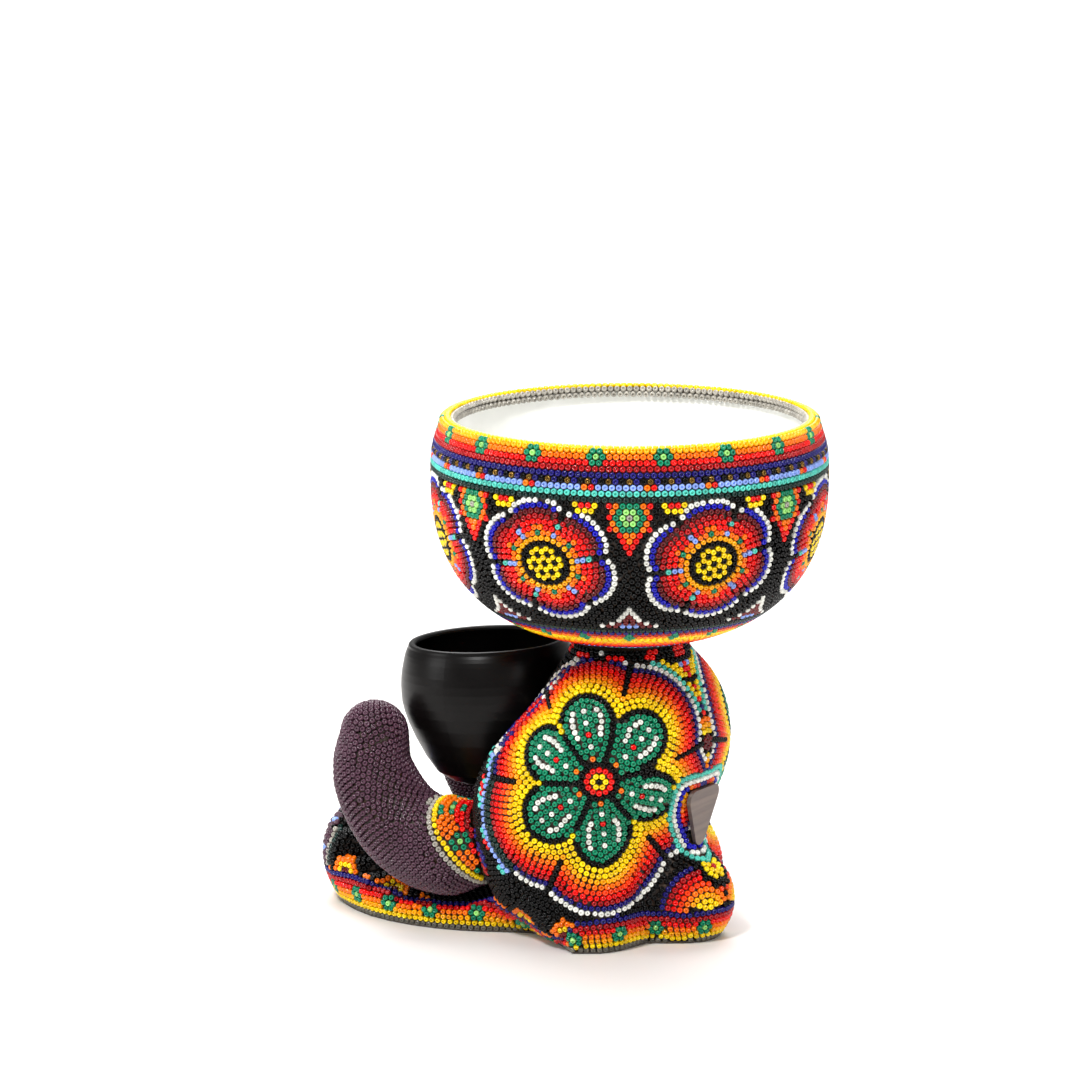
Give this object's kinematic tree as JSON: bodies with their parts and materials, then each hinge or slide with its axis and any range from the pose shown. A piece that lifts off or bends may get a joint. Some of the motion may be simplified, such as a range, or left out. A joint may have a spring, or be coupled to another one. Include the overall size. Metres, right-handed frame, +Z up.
{
  "type": "beaded figure",
  "caption": "Seated headless figure covered in small glass beads, with a large white-lined bowl on its neck and a black clay cup held in its curled arms.",
  "frame": {"origin": "the point of the standing face that lies on the large bowl's axis", "axes": "+Z up along the large bowl's axis, -Y the way the figure faces, +X its side towards the viewer's near flank; the two sides mirror each other across X = 0"},
  "size_m": [0.131, 0.1795, 0.173],
  "materials": {
    "carved_wood": "plain carved softwood",
    "wax": "beeswax and pine resin, satin",
    "felt": "wool felt",
    "trim_beads": "glossy opaque glass seed beads",
    "flank_beads": "glossy opaque glass seed beads",
    "back_beads": "glossy opaque glass seed beads",
    "bowl_beads": "glossy opaque glass seed beads",
    "dark_beads": "glossy opaque glass seed beads",
    "plum_beads": "satin opaque glass seed beads",
    "plate": "smooth, blank",
    "white_ceramic": "glossy glaze",
    "black_clay": "burnished, satin"
  },
  "bodies": {
    "figure": {"body_core": "carved_wood", "body_wax": "wax", "base_felt": "felt", "left_arm_core": "carved_wood", "right_arm_core": "carved_wood", "left_arm_wax": "wax", "right_arm_wax": "wax", "trim_beads": "trim_beads", "left_flank_beads": "flank_beads", "right_flank_beads": "flank_beads", "back_beads": "back_beads", "tail_beads": "back_beads", "plate_border_beads": "back_beads", "chest_beads": "dark_beads", "lap_beads": "dark_beads", "neck_beads": "dark_beads", "left_cuff_beads": "trim_beads", "right_cuff_beads": "trim_beads", "left_arm_beads": "plum_beads", "right_arm_beads": "plum_beads", "name_plate": "plate", "bowl_peg": "carved_wood", "bowl_seat": "wax", "ceramic_bowl": "white_ceramic", "bowl_wax": "wax", "bowl_rim_beads": "trim_beads", "bowl_band_beads": "bowl_beads", "bowl_flower_beads": "bowl_beads", "bowl_foot_beads": "trim_beads"},
    "cup": {"black_cup": "black_clay"}
  },
  "joints": [
    {"name": "cup_lift", "type": "slide", "parent": "figure", "child": "cup", "axis": [0, -0.0523, 0.9986], "range_m": [0, 0.005]}
  ]
}
